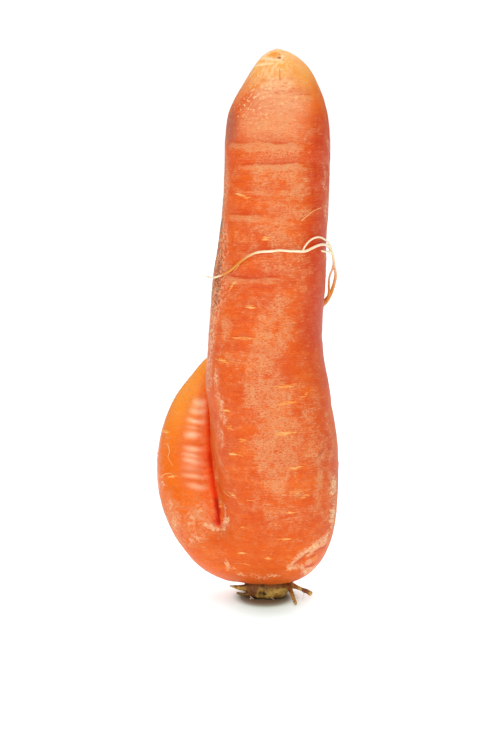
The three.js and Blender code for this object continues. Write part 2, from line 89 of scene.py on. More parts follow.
# The same on the side root, by the angle round its own middle.
SIDE_FLAKES = [
    (-146, 34.2, 0.8, 0.9, 0),
    (160, 30.0, 3.0, 2.0, 20),
]
# Crumbly grey-pink patches on the side root, and its corky marks, in the same way.
SIDE_CRUMBS = [
    (-98, 24.8, 3.6, 3.0, 0), (-141, 26.0, 1.8, 2.6, 20), (-150, 21.2, 3.0, 3.2, -10),
    (-119, 18.4, 3.0, 1.0, 24),
]
SIDE_LENTICELS = [
    (-145, 49.3, 2.6, 0.5, 0), (-128, 36.4, 1.8, 0.35, 10), (170, 42.0, 3.0, 0.45, 4),
    (120, 52.0, 2.4, 0.4, 0), (100, 34.0, 3.2, 0.4, -4),
]
# The dusty band that winds down the front: height, angle and half-width in degrees, and strength.
DUSTY_BAND = [
    (14, -90, 30, 0.2), (26, -84, 34, 0.35), (33, -88, 36, 0.4), (38, -92, 32, 0.7), (48, -88, 36, 0.85),
    (55, -90, 34, 0.95), (63, -94, 28, 1.1), (75, -94, 24, 1.1), (81, -84, 28, 0.9), (90, -80, 40, 0.4),
    (100, -74, 44, 0.42), (108, -86, 50, 0.6), (126, -90, 52, 0.65), (138, -98, 42, 0.9),
    (148, -98, 44, 0.7), (156, -96, 30, 0.0),
]
# The pale, gritty band down the left flank, in the same way.
LEFT_BAND = [
    (60, -174, 12, 0.0), (67, -172, 22, 0.6), (76, -170, 28, 0.9), (82, -168, 32, 1.0), (95, -166, 34, 1.0),
    (108, -168, 32, 1.0), (114, -172, 24, 1.0), (124, -172, 18, 0.8), (136, -172, 16, 0.4),
    (143, -166, 26, 0.8), (151, -158, 20, 0.0),
]
# The line of crumbs along the left of the front, in the same way.
CRUMB_BAND = [
    (40, -150, 6, 0.0), (43, -150, 7, 0.4), (48, -145, 8, 0.8), (52, -142, 8, 0.7), (57, -139, 9, 1.0),
    (61, -142, 10, 1.0), (68, -150, 12, 1.0), (74, -155, 14, 0.9), (80, -160, 12, 0.0),
]
SCAR = (-46, 45.8, 1.6, 0.45, 35)  # a small dark scar on the right flank
BRUISE = (-156, 141.5, 3.6, 4.2, 0)  # a dull bruise high on the left flank
# Glossy ribs across the side root's inner face: height, half-thickness, rise, middle angle, half-angle
# and the strength of the painted highlight on each crest.
RIBS = [
    (58.5, 0.9, 0.26, -84, 22, 1.0), (56.1, 0.9, 0.26, -86, 24, 0.9), (53.0, 0.75, 0.26, -87, 25, 1.0),
    (50.9, 0.45, 0.14, -88, 22, 0.5), (48.9, 0.85, 0.28, -88, 22, 1.0), (45.0, 0.85, 0.16, -85, 24, 0.8),
    (43.0, 0.7, 0.16, -90, 24, 0.7), (41.2, 0.8, 0.2, -88, 25, 0.85), (39.2, 0.9, 0.04, -90, 26, 0.35),
    (37.0, 0.7, 0.18, -90, 25, 0.6), (33.9, 0.9, 0.2, -92, 20, 0.6),
]
# How far the slit lies in towards the main root's middle, beyond the solid's: height and shift in mm.
SLIT_SHIFT = [(20, 0), (26, 0.6), (32, 1.4), (37, 1.4), (42, 1.1), (46, 0.7), (56, 0.7), (64, 0)]
# Extra dust on the main root: strength, then angle, half-angle, lowest and highest height.
DUSTY_ZONES = [
    (0.5, (-40, 24, 26, 46)), (0.4, (-10, 24, 8, 60)), (0.4, (-50, 30, 40, 66)),
    (0.25, (-136, 26, 76, 102)),
]

# ---- heights of the skin's relief, in mm

LUMPS = 0.1
GRAIN = 0.05
WRINKLES = 0.06
CORKY_RISE = 0.1
FLAKY_RISE = 0.08
CREASE_WIDTH = 0.45
CREASE_DEPTH = 0.16  # at which a crease is fully coloured
SLIT_FILL = 0.68  # share of a narrow slit that each side swells into
SLIT_CALM = 0.7  # share of the relief that is missing in the slit

# ---- places of single features, as x, y and z

# A hollow, a notch or a patch has a middle and half-sizes. A line has points along it.
TIP_HOLLOW = ((0.9, -3.0, 162.8), (2.0, 2.5, 1.1))
TIP_NOTCH = ((-2.7, -3.1, 160.35), (1.3, 1.7, 0.75))
TIP_PIT = [(1.9, -4.5, 161.8), (2.9, -5.7, 161.5)]
TIP_RIM = [
    (-2.8, -2.2, 161.6), (-1.1, -4.3, 161.2), (0.9, -5.9, 160.8), (2.9, -6.3, 160.8), (3.8, -5.0, 162.0),
]
TIP_LEDGE = [(-4.0, -3.2, 159.2), (-2.0, -5.7, 159.4), (0.6, -6.9, 159.7)]
TIP_CRACK = [(2.9, -8.7, 158.0), (3.0, -10.6, 155.0)]
TIP_RING = [(-2.1, -9.4, 154.8), (0.3, -10.5, 154.4), (2.9, -10.8, 154.6), (6.1, -10.4, 155.1)]
TIP_SWATH = [(0.2, -10.9, 153.4), (3.1, -11.3, 153.3), (5.0, -10.9, 153.8)]
# Painted shade: dark red down the slit's lower end, and darker in the pit where it ends.
FORK_SHADE = [
    (-17.9, 1.5, 42), (-17.2, 0.4, 36), (-16.2, -3.6, 30.4), (-14.8, -6.0, 26.8), (-15.1, -7.1, 24.2),
]
FORK_PIT = [(-15.4, -5.2, 30.0), (-14.6, -6.8, 27.2), (-14.6, -6.4, 25.4), (-15.3, -7.2, 24.3)]
FORK_RIM = [(-19.0, -7.2, 23.2), (-17.6, -7.5, 22.5), (-15.6, -8.1, 22.0), (-13.3, -9.6, 22.3)]
FORK_CRUMBS = [(-14.6, -7.8, 22.9), (-13.5, -8.9, 23.4), (-12.9, -10.2, 24.6), (-13.3, -9.6, 27.6)]
# The torn skin round the foot: pale bands with their width and strength, red cracks, and two patches.
FOOT_EDGE = [
    (6.0, -14.1, 11.6), (8.4, -14.5, 14.4), (11.0, -14.0, 16.6), (14.4, -12.2, 18.6), (17.4, -8.8, 20.4),
]
FOOT_BANDS = [
    (1.3, 0.66, FOOT_EDGE),
    (1.8, 0.66, [(11.4, -13.2, 15.8), (14.2, -11.6, 17.2), (16.6, -9.0, 18.4)]),
    (1.1, 0.65, [(6.5, -13.6, 10.9), (9.4, -12.5, 11.4), (11.3, -9.8, 10.1), (13.4, -6.8, 10.0)]),
    (1.1, 0.65, [(10.3, -10.1, 9.3), (11.6, -7.2, 8.8)]),
    (0.7, 0.6, [(-9.0, -11.9, 9.3), (-7.0, -12.3, 8.8)]),
    (0.6, 0.6, [(-5.4, -12.6, 9.1), (-2.8, -13.1, 9.2)]),
    (0.6, 0.5, [(-3.9, -12.6, 8.0), (-0.9, -13.0, 8.1)]),
    (0.7, 0.6, [(0.4, -13.4, 9.0), (2.8, -13.3, 8.7)]),
    (0.8, 0.6, [(-12.9, -11.9, 12.6), (-12.1, -11.9, 11.2), (-12.5, -11.2, 10.0)]),
    (0.6, 0.6, [(-11.9, -12.2, 11.4), (-10.6, -12.4, 11.1)]),
]
FOOT_CRACKS = [
    [(7.6, -14.1, 12.6), (9.3, -13.9, 13.9), (10.5, -13.7, 14.9), (11.7, -13.4, 15.9)],
    [(13.5, -11.8, 15.8), (15.0, -10.6, 16.4), (16.9, -7.8, 16.8)],
    [(10.7, -11.3, 11.0), (12.1, -10.1, 11.0), (13.3, -8.9, 11.4)],
    [(10.2, -13.6, 13.4), (12.2, -12.6, 14.2), (13.8, -11.2, 14.6)],
]
FOOT_PINK = ((11.8, -11.5, 12.6), (1.4, 1.7, 1.3))
FOOT_YELLOW = ((13.7, -10.3, 13.5), (1.3, 1.6, 1.6))
CROWN_PIT = [(-2.4, -6.8, 2.0), (-1.5, -7.1, 2.1)]

# Fine hairs that lie on the skin: whether on the side root, radius, then the angle and height of each point.
SKIN_HAIRS = [
    (False, 0.14, [(-62.6, 114.3), (-57.1, 115.4), (-49.5, 116.8), (-39.9, 117.6), (-18.1, 118.0)]),
    (False, 0.13, [(-124.0, 101.4), (-126.5, 100.4), (-130.4, 99.1)]),
    (False, 0.08, [(-149.7, 33.7), (-138, 32.7), (-116.5, 32.1), (-105, 32.9)]),
    (True, 0.13, [(-134.5, 46.0), (-127, 43.8), (-129.5, 42.0), (-120.5, 39.8)]),
    (True, 0.13, [(-150, 35.6), (-140, 36.8), (-124, 37.4), (-119.5, 36.0)]),
]
# Fine hairs that stand free, off the skin and round the crown: radius, then x, y and z of each point.
FREE_HAIRS = [
    (0.13, [(-18.2, -2.3, 97.1), (-19.2, -2.5, 97.3), (-20.1, -2.7, 97.1)]),
    (0.09, [(-19.9, -2.65, 97.2), (-19.6, -2.9, 95.2), (-19.0, -3.2, 92.8)]),
]
CROWN_HAIRS = [
    (0.09, [(10.3, -4.9, 2.2), (10.5, -5.8, 1.2), (10.1, -7.2, 0.15)]),
    (0.1, [(7.7, -9.4, 2.2), (8.6, -9.8, 1.5), (8.8, -10.6, 0.5)]),
    (0.12, [(-5.6, -5.2, 0.9), (-5.0, -6.1, 0.5), (-4.6, -6.6, 0.3)]),
    (0.12, [(-5.0, -5.4, 0.4), (-5.7, -6.3, 0.5), (-5.4, -6.8, 0.2)]),
    (0.1, [(0.6, -6.4, 0.7), (1.2, -7.0, 0.5), (1.6, -7.2, 0.2)]),
]

# ---- stage, lights and camera

FLOOR_SIZE = 6.0  # metres
FLOOR_GLOW = 0.54
SHADE = 0.5  # how much less the floor glows round the crown
# Where the floor has painted shade, and a darker painted shadow where the crown stands on it: middle and
# half-sizes in mm.
SHADE_SPOT = ((-1.0, -8.0, 0.0), (16.0, 34.0, 10.0))
CONTACT_SPOT = ((-1.2, -2.0, 0.0), (10.4, 16.0, 10.0))
WORLD_LIGHT = 0.33  # the world's strength on the carrot, and as the camera sees it
WORLD_SEEN = 1.05
# A broad sun: strength, spread and tilt to the front in degrees.
OVERHEAD = (1.6, 64, -36)
# Square lamps: name, place and width in metres, power in watts.
LAMPS = [
    ("key", (-0.4, -1.0, 0.75), 1.3, 6.7),
    ("top", (0.1, -0.25, 1.1), 0.6, 1.6),
    ("gloss", (0.3, -0.9, 0.3), 0.25, 1.0),
]
LAMP_AIM = (0, 0, 0.08)
# The camera, in mm and degrees.
CAMERA_TARGET = (-5.7, -0.5, 67.46)
CAMERA_DISTANCE = 625.0
CAMERA_ELEVATION = 6.5
PIXEL = 0.3  # mm at the carrot's axis that one pixel of a picture 750 pixels tall spans
PICTURE_HEIGHT = 750
SENSOR = 36.0  # height of the camera's sensor, mm

# ---- palette, as sRGB numbers from 0 to 255

PALETTE = {
    "orange": (226, 90, 14),
    "bright": (246, 118, 20),
    "yolk": (255, 156, 52),
    "red": (204, 52, 10),
    "peach": (230, 160, 108),
    "blush": (255, 198, 148),
    "chalk": (242, 192, 146),
    # Painted highlight on the ribs' crests.
    "rib_highlight": (255, 210, 170),
    "ember": (255, 176, 84),
    "pit": (186, 90, 26),
    "cream": (250, 212, 162),
    "amber": (252, 172, 76),
    # Painted red shade in the slit, darker at its lower end and darkest in its pit.
    "slit": (246, 90, 24),
    "cleft_shade": (216, 52, 12),
    "maroon": (186, 24, 8),
    "dirt": (128, 76, 50),
    "bruise": (172, 92, 70),
    "tip": (255, 212, 152),
    "honey": (255, 176, 80),
    "olive": (168, 122, 40),
    "straw": (244, 206, 116),
    "leaf": (212, 172, 80),
    "bark": (146, 82, 24),
    "husk": (96, 54, 14),
    "node": (110, 40, 20),
    # Grime, and painted shade at the crown's cut.
    "grime_and_shade": (34, 20, 12),
    "root": (255, 240, 212),
    "root_amber": (220, 134, 36),
    "floor_light": (217, 236, 240),
    "floor_shade": (214, 233, 237),
    # The floor's painted shadow: a cool tint round the crown and a dark brown where it stands.
    "shadow_tint": (196, 228, 214),
    "contact_shadow": (120, 86, 42),
}


def colour(name):
    """A palette colour as linear RGBA."""
    shares = [value / 255 for value in PALETTE[name]]
    return [s / 12.92 if s <= 0.04045 else ((s + 0.055) / 1.055) ** 2.4 for s in shares] + [1.0]


# ---- numbers and noise


def smooth(value, low, high):
    """0 at low, 1 at high, with soft ends."""
    share = np.clip((value - low) / (high - low), 0, 1)
    return share * share * (3 - 2 * share)


def fade(value, low, high):
    """1 at low, 0 at high, with soft ends."""
    return 1 - smooth(value, low, high)


def wrapped(degrees):
    """An angle brought between -180 and 180."""
    return (degrees + 180) % 360 - 180


def grain(points, size, seed):
    """Smooth noise from -1 to 1 whose lumps are about size mm across: one number, or one for each axis."""
    places = points / np.asarray(size, float) + 17.3 * seed
    return np.array([noise.noise(place) for place in places])


# ---- where the skin's vertices are


def main_axis(height):
    """x and y of the main root's axis at a height."""
    heights, _, bows = zip(*MAIN_ROOT)
    return np.interp(height, heights, bows), MAIN_LEAN * np.sin(np.pi * height / TIP_HEIGHT)


def side_stations():
    """Evenly spread points along the side root's middle, with their radii."""
    stations = np.array(SIDE_ROOT)
    steps = np.linalg.norm(np.diff(stations[:, :3], axis=0), axis=1)
    along = np.concatenate([[0], np.cumsum(steps)])
    places = np.linspace(0, along[-1], SIDE_STATIONS)
    return np.stack([np.interp(places, along, stations[:, k]) for k in range(4)], axis=1)


def nearest_on_side_root(points):
    """How far points stand off the side root, in mm, and the middle of the root beside each."""
    off_side = np.full(len(points), 1e9)
    middle = np.zeros((len(points), 3))
    for *centre, radius in side_stations():
        away = np.linalg.norm(points - centre, axis=1) - radius
        nearer = away < off_side
        off_side[nearer] = away[nearer]
        middle[nearer] = centre
    return off_side, middle


class Places:
    """Where points of the skin lie on the carrot, in mm and degrees.

    turn, height and radius place them round the main root, side_turn and side_radius round the side root.
    drift and fray make the edges of patches waver. on_side is 1 on the side root, gap is the slit's width,
    above is 1 over the crotch, in_slit is 1 deep in the slit, and marks and flakes are 1 at the middles of
    corky marks and flaky patches. All shares fade between 0 and 1.
    """

    def __init__(self, points):
        self.points = points
        self.height = points[:, 2]
        heights, radii, _ = zip(*MAIN_ROOT)
        axis_x, axis_y = main_axis(self.height)
        x = points[:, 0] - axis_x
        y = (points[:, 1] - axis_y) / DEPTH_SHARE
        self.turn = np.degrees(np.arctan2(y, x))
        self.drift = 12 * grain(points, 16, seed=9)
        self.fray = 7 * grain(points, (3, 3, 6), seed=22)
        self.radius = np.hypot(x, y)
        off_main = self.radius - np.interp(self.height, heights, radii)

        off_side, middle = nearest_on_side_root(points)
        out = points - middle
        self.side_turn = np.degrees(np.arctan2(out[:, 1], out[:, 0]))
        self.side_radius = np.linalg.norm(out, axis=1)
        above = smooth(self.height, CROTCH_HEIGHT - 1.5, CROTCH_HEIGHT + 2)
        softness = 0.6 * above + 9 * (1 - above)  # the roots melt together below the crotch
        self.on_side = smooth(off_main - off_side, -softness, softness)
        self.gap = np.maximum(np.maximum(off_main, off_side), 0)
        self.above = above
        self.in_slit = above * fade(self.gap, 0.5, 3.2 + 1.8 * self.on_side)
        self.marks = self.cones(LENTICELS + hidden_lenticels(), SIDE_LENTICELS)
        self.flakes = self.cones(FLAKES, SIDE_FLAKES)

    def cone(self, angle, height, half_length, half_thickness, slope, side=False):
        """1 at a mark's middle, a half at its edge and 0 at twice its size."""
        turn = self.side_turn if side else self.turn
        radius = self.side_radius if side else self.radius
        along = np.radians(wrapped(turn - angle)) * radius
        across = self.height - height - along * math.tan(math.radians(slope))
        away = np.hypot(along / half_length, across / half_thickness)
        share = self.on_side if side else 1 - self.on_side
        return share * np.clip(1 - 0.5 * away, 0, 1)

    def cones(self, main_marks, side_marks):
        """The strongest of several marks at each point."""
        fields = [self.cone(*mark) for mark in main_marks]
        fields += [self.cone(*mark, side=True) for mark in side_marks]
        return np.maximum.reduce(fields)

    def zone(self, angle, half_angle, low, high, edge=8):
        """1 within an angle and between two heights, fading out at wavering edges."""
        off = np.abs(wrapped(self.turn + self.drift - angle))
        across = fade(off, 0.4 * half_angle, half_angle)
        height = self.height + 0.6 * edge * self.drift / 12
        upright = smooth(height, low - edge, low + edge) * fade(height, high - edge, high + edge)
        return across * upright * (1 - self.on_side)

    def band(self, table, core):
        """The strength of a band that winds down the main root, given as a table by height."""
        heights, angles, widths, strengths = zip(*table)
        middle = np.interp(self.height, heights, angles)
        off = np.abs(wrapped(self.turn + 0.5 * self.drift + self.fray - middle))
        width = np.interp(self.height, heights, widths)
        across = fade(off, core * width, width)
        return across * np.interp(self.height, heights, strengths) * (1 - self.on_side)

    def ribs(self):
        """How strongly each point near a rib's crest gets the painted highlight, and how far the ribs rise
        there, in mm.
        """
        wavy = self.height + 0.5 * grain(self.points, 5, seed=17) + 0.03 * wrapped(self.side_turn + 90)
        crest = np.zeros(len(wavy))
        rise = np.zeros(len(wavy))
        for height, half_thickness, top, middle, half_angle, gloss in RIBS:
            across = fade(np.abs(wrapped(self.side_turn - middle)), 0, half_angle)
            shape = np.exp(-(((wavy - height) / half_thickness) ** 2)) * across * self.on_side
            crest += gloss * shape
            rise += top * shape
        return np.clip(crest, 0, 1), rise


def hidden_lenticels():
    """Corky marks on the back and flanks, where the same skin goes on."""
    draw = random.Random(7)
    marks = []
    for _ in range(46):
        angle = draw.uniform(-8, 205)
        height = draw.uniform(14, 140)
        marks.append((angle, height, draw.uniform(1.4, 4.2), draw.uniform(0.28, 0.5), draw.uniform(-8, 8)))
    return marks


def crease_lines(at):
    """The growth creases: the depth at each point in mm, and its shares in the painted highlight on the lip
    below and the painted shade above.
    """
    depth = np.zeros(len(at.height))
    lip = np.zeros(len(at.height))
    shade = np.zeros(len(at.height))
    waver = 0.55 * grain(at.points, 9, seed=3) + 0.25 * grain(at.points, 2.5, seed=4)
    broken = 0.7 + 0.3 * smooth(grain(at.points, 8, seed=16), -0.3, 0.2)
    for height, middle, half_angle, deep, slope in CREASES:
        along = np.radians(wrapped(at.turn - middle)) * at.radius
        off = at.height - height - along * math.tan(math.radians(slope)) - waver
        share = fade(np.abs(wrapped(at.turn - middle)), 0.5 * half_angle, half_angle)
        share = share * (1 - at.on_side) * broken
        swell = np.exp(-((off + 1.3) ** 2))
        depth += share * deep * (np.exp(-((off / CREASE_WIDTH) ** 2)) - 0.5 * swell)
        lip += share * smooth(-off, 0.1, 0.7) * fade(-off, 0.8, 3.6) * deep / 0.2
        shade += share * smooth(off, -0.1, 0.4) * fade(off, 0.6, 3.4) * deep / 0.2
    return depth, lip, shade


# ---- mesh tools


def in_scene(name, data):
    """A new object in the scene."""
    thing = bpy.data.objects.new(name, data)
    bpy.context.scene.collection.objects.link(thing)
    return thing


def refined(node, name):
    """A copy of a CAD node's mesh with soft, finely divided faces."""
    build = bmesh.new()
    build.from_mesh(node.data)
    bmesh.ops.remove_doubles(build, verts=build.verts, dist=0.001 * MM)
    bend = math.radians(40)
    skew = math.radians(60)
    bmesh.ops.join_triangles(build, faces=build.faces, angle_face_threshold=bend, angle_shape_threshold=skew)
    mesh = bpy.data.meshes.new(name)
    build.to_mesh(mesh)
    build.free()
    piece = in_scene(name, mesh)
    divide = piece.modifiers.new("divide", "SUBSURF")
    divide.levels = DIVISIONS
    divide.render_levels = DIVISIONS
    fine = bpy.data.meshes.new_from_object(piece.evaluated_get(bpy.context.evaluated_depsgraph_get()))
    piece.modifiers.clear()
    piece.data = fine
    fine.materials.clear()
    return piece


def points_of(mesh):
    """A mesh's vertices in mm."""
    flat = np.empty(3 * len(mesh.vertices), np.float32)
    mesh.vertices.foreach_get("co", flat)
    return flat.reshape(-1, 3).astype(float) / MM


def normals_of(mesh):
    """The directions that a mesh's vertices face."""
    flat = np.empty(3 * len(mesh.vertices), np.float32)
    mesh.vertex_normals.foreach_get("vector", flat)
    return flat.reshape(-1, 3).astype(float)


def raise_skin(mesh, heights):
    """Moves each vertex out along its normal by so many mm."""
    moved = points_of(mesh) + normals_of(mesh) * heights[:, None]
    mesh.vertices.foreach_set("co", (moved * MM).astype(np.float32).ravel())
    mesh.update()


def keep_field(mesh, name, values):
    """Stores one number a vertex, for the material to read."""
    field = mesh.attributes.new(name, "FLOAT", "POINT")
    field.data.foreach_set("value", np.asarray(values, np.float32))


def finish_piece(piece, material):
    """Gives a piece its material, soft shading and body."""
    piece.data.materials.append(material)
    piece.data.polygons.foreach_set("use_smooth", [True] * len(piece.data.polygons))
    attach(piece, "root")
    return piece


def spline(points, count):
    """Evenly counted points on a smooth curve through the given ones."""
    points = np.array(points, float)
    padded = np.vstack([2 * points[0] - points[1], points, 2 * points[-1] - points[-2]])
    result = []
    for place in np.linspace(0, len(points) - 1, count):
        first = min(int(place), len(points) - 2)
        t = place - first
        a, b, c, d = padded[first : first + 4]
        bend = (2 * a - 5 * b + 4 * c - d) * t * t + (3 * b - a - 3 * c + d) * t**3
        result.append(0.5 * (2 * b + (c - a) * t + bend))
    return np.array(result)


def add_tube(build, points, radii):
    """Adds a closed tube through points, in mm, to a bmesh."""
    rings = []
    side = Vector((0.31, 0.22, 0.92))
    for k, point in enumerate(points):
        along = Vector(points[min(k + 1, len(points) - 1)] - points[max(k - 1, 0)]).normalized()
        across = along.cross(side).normalized()
        side = across.cross(along)
        ring = []
        for turn in range(TUBE_SIDES):
            angle = 2 * math.pi * turn / TUBE_SIDES
            offset = (across * math.cos(angle) + side * math.sin(angle)) * radii[k]
            ring.append(build.verts.new((Vector(point) + offset) * MM))
        rings.append(ring)
    for lower, upper in zip(rings, rings[1:]):
        for turn in range(TUBE_SIDES):
            after = (turn + 1) % TUBE_SIDES
            build.faces.new((lower[turn], lower[after], upper[after], upper[turn]))
    build.faces.new(list(reversed(rings[0])))
    build.faces.new(rings[-1])


def tubes_piece(name, strands):
    """One piece from strands, each its radius and its points, in mm. A strand thins towards its end."""
    build = bmesh.new()
    for radius, points in strands:
        curve = spline(points, max(8, 6 * len(points)))
        shares = np.linspace(0, 1, len(curve))
        add_tube(build, curve, radius * (1 - 0.55 * shares**1.5))
    mesh = bpy.data.meshes.new(name)
    bmesh.ops.recalc_face_normals(build, faces=build.faces)
    build.to_mesh(mesh)
    build.free()
    return in_scene(name, mesh)


# ---- materials


class Paint:
    """A short way to write the nodes of one material. base is its colour so far."""

    def __init__(self, name, base):
        self.material = bpy.data.materials.new(name)
        self.material.use_nodes = True
        self.nodes = self.material.node_tree.nodes
        self.links = self.material.node_tree.links
        self.shader = self.nodes["Principled BSDF"]
        self.place = self.node("TexCoord").outputs["Object"]
        self.frayed = self.swing((0.8, 0.8, 0.6), 21.0, 3, 0.6)
        self.base = base

    def feed(self, socket, value):
        """Links an input to a socket, or sets it to a plain value."""
        if isinstance(value, bpy.types.NodeSocket):
            self.links.new(value, socket)
        else:
            socket.default_value = value

    def fill(self, node, inputs):
        """Feeds a node's inputs, by name with _ for a space."""
        for name, value in inputs.items():
            self.feed(node.inputs[name.replace("_", " ")], value)

    def set(self, **inputs):
        """Feeds the shader's own inputs."""
        self.fill(self.shader, inputs)

    def node(self, kind, **inputs):
        """A new node with some of its inputs fed."""
        node = self.nodes.new("ShaderNode" + kind)
        self.fill(node, inputs)
        return node

    def math(self, operation, first, second):
        """One sum on numbers."""
        node = self.node("Math")
        node.operation = operation
        self.feed(node.inputs[0], first)
        self.feed(node.inputs[1], second)
        return node.outputs[0]

    def vector(self, operation, first, second=(0, 0, 0)):
        """One sum on vectors."""
        node = self.node("VectorMath")
        node.operation = operation
        self.feed(node.inputs[0], first)
        self.feed(node.inputs["Scale" if operation == "SCALE" else 1], second)
        return node.outputs["Value" if operation in ("DOT_PRODUCT", "LENGTH") else "Vector"]

    def inverse(self, share):
        """1 less a share."""
        return self.math("SUBTRACT", 1.0, share)

    def times(self, first, *others):
        """The product of numbers."""
        for other in others:
            first = self.math("MULTIPLY", first, other)
        return first

    def plus(self, first, *others):
        """The sum of numbers."""
        for other in others:
            first = self.math("ADD", first, other)
        return first

    def step(self, value, low, high):
        """0 below low, 1 above high, with soft ends."""
        node = self.node("MapRange", Value=value, From_Min=low, From_Max=high)
        node.interpolation_type = "SMOOTHSTEP"
        return node.outputs["Result"]

    def mix(self, share, first, second, blend="MIX"):
        """A colour between two, each a palette name or a socket."""
        node = self.node("Mix")
        node.data_type = "RGBA"
        node.blend_type = blend
        self.feed(node.inputs[0], share)
        self.feed(node.inputs[6], colour(first) if isinstance(first, str) else first)
        self.feed(node.inputs[7], colour(second) if isinstance(second, str) else second)
        return node.outputs[2]

    def lay(self, colour_over, *shares):
        """Lays a colour over the base, by the product of some shares."""
        self.base = self.mix(self.times(*shares), self.base, colour_over)

    def stretched(self, size, shift):
        """The place on the object, measured in units of size mm along x, y and z."""
        scale = [1 / (s * MM) for s in size]
        move = (shift, 0.7 * shift, 1.3 * shift)
        return self.node("Mapping", Vector=self.place, Scale=scale, Location=move).outputs["Vector"]

    def noise(self, size, shift, detail, roughness=0.55, distortion=0.0):
        """Noise from about 0.25 to 0.75, whose lumps are about size mm along x, y and z."""
        size = size if isinstance(size, tuple) else (size, size, size)
        node = self.node(
            "TexNoise",
            Vector=self.stretched(size, shift),
            Scale=1.0,
            Detail=detail,
            Roughness=roughness,
            Distortion=distortion,
        )
        return node.outputs["Fac"]

    def swing(self, *noise):
        """Noise that swings round 0, from about -0.25 to 0.25."""
        return self.math("SUBTRACT", self.noise(*noise), 0.5)

    def cracks(self, size, shift):
        """Distance from a net of cell edges, 0 on an edge, with cells about size mm across."""
        warp = self.node("TexNoise", Vector=self.stretched(size, shift + 3), Scale=1.3, Detail=3.0)
        warped = self.mix(0.5, self.stretched(size, shift), warp.outputs["Color"], "LINEAR_LIGHT")
        node = self.node("TexVoronoi", Vector=warped, Scale=1.0)
        node.feature = "DISTANCE_TO_EDGE"
        return node.outputs["Distance"]

    def line(self, places, width, ragged):
        """1 along a line through places, in mm, and 0 beyond its width from it."""
        nearest = 1.0
        for start, end in zip(places, places[1:]):
            start = Vector(start) * MM
            along = Vector(end) * MM - start
            out = self.vector("SUBTRACT", self.place, start)
            share = self.vector("DOT_PRODUCT", out, along / along.length_squared)
            share = self.math("MINIMUM", self.math("MAXIMUM", share, 0.0), 1.0)
            off = self.vector("SUBTRACT", out, self.vector("SCALE", along, share))
            nearest = self.math("MINIMUM", nearest, self.vector("LENGTH", off))
        away = self.plus(nearest, self.times(self.frayed, ragged * MM))
        return self.inverse(self.step(away, 0.4 * width * MM, width * MM))

    def spot(self, feature, ragged=0.0, core=0.7):
        """1 inside an ellipsoid, given by its middle and half-sizes in mm, fading out from its core."""
        middle, sizes = feature
        out = self.vector("SUBTRACT", self.place, Vector(middle) * MM)
        out = self.vector("MULTIPLY", out, [1 / (size * MM) for size in sizes])
        away = self.plus(self.vector("LENGTH", out), self.times(self.frayed, ragged))
        return self.inverse(self.step(away, core, 1.05))

    def flaky(self):
        """A share from 0.35 to 1 that breaks pale marks up into flakes."""
        flakes = self.step(self.noise((1.3, 1.3, 0.5), 45.0, 4, 0.75), 0.4, 0.62)
        return self.plus(0.35, self.times(flakes, 0.65))

    def field(self, name):
        """A number that the mesh stores at each vertex."""
        node = self.node("Attribute")
        node.attribute_name = name
        return node.outputs["Fac"]

    def broken(self, name, noise, share, low, high):
        """A stored number made a mask from low to high, its edges broken up by a share of noise."""
        return self.step(self.plus(self.field(name), self.times(noise, share)), low, high)

    def bump(self, height, distance, strength):
        """Fine relief up to a distance in mm."""
        node = self.node("Bump", Height=height, Distance=distance * MM, Strength=strength)
        self.set(Normal=node.outputs["Normal"])


def skin_colours(paint):
    """The flesh under the marks: deeper and redder or brighter by place, with painted shade on the right
    flank and painted red shade deep in the slit.
    """
    patches = paint.step(paint.noise(14, 2.0, 2), 0.35, 0.68)
    streaks = paint.step(paint.noise((9, 9, 1.6), 5.0, 4), 0.36, 0.66)
    mottles = paint.step(paint.noise((0.9, 0.9, 0.42), 15.0, 4, 0.65), 0.46, 0.66)
    paint.lay("bright", patches, 0.5)
    paint.lay("red", streaks, 0.3)
    paint.lay("red", mottles, 0.5)
    # Painted shade: the right flank darker and redder.
    paint.lay("red", paint.field("right_shade"))
    paint.lay("bright", paint.field("sunny"))
    paint.lay("yolk", paint.field("yolk"))
    paint.lay("blush", paint.field("pale"))
    paint.lay("orange", streaks, paint.field("pale"), 0.6)
    # Painted red shade deep in the slit, darker where its walls close.
    paint.lay("slit", paint.field("slit"))
    paint.lay("cleft_shade", paint.field("deep"), 0.55)


def tip_colours(paint):
    """The scarred tip: cream and honey fibres, a hollow with a pit, a notch, pale rims and a crack."""
    fibres = paint.step(paint.noise((0.9, 0.9, 7.0), 23.0, 4, 0.65), 0.4, 0.6)
    flesh = paint.mix(fibres, "tip", "honey")
    flesh = paint.mix(paint.field("honey"), flesh, "honey")
    paint.lay(flesh, paint.field("tip"))
    paint.lay("ember", paint.spot(TIP_HOLLOW, 1.2), 0.75)
    paint.lay("ember", paint.spot(TIP_NOTCH, 1.2), 0.7)
    paint.lay("cream", paint.line(TIP_RIM, 0.8, 1.0), 0.85)
    paint.lay("cream", paint.line(TIP_LEDGE, 0.7, 0.8), 0.85)
    paint.lay("pit", paint.line(TIP_PIT, 0.75, 0.8), 0.95)
    paint.lay("orange", paint.line(TIP_RING, 0.9, 0.8), 0.3)
    paint.lay("cream", paint.line(TIP_SWATH, 2.6, 1.6), 0.36)
    nicks = paint.step(paint.noise((1.5, 1.5, 0.7), 57.0, 4, 0.7), 0.52, 0.62)
    paint.lay("orange", nicks, paint.field("pale"), 0.9)
    strokes = paint.step(paint.noise((1.4, 1.4, 0.6), 61.0, 3, 0.7), 0.55, 0.66)
    paint.lay("cream", strokes, paint.field("pale"), 1.1)
    flecks = paint.step(paint.noise((1.0, 1.0, 0.7), 51.0, 2, 0.6), 0.58, 0.66)
    paint.lay("cream", flecks, paint.field("dots"), 0.75)
    paint.lay("red", paint.line(TIP_CRACK, 0.3, 0.6), 0.4)


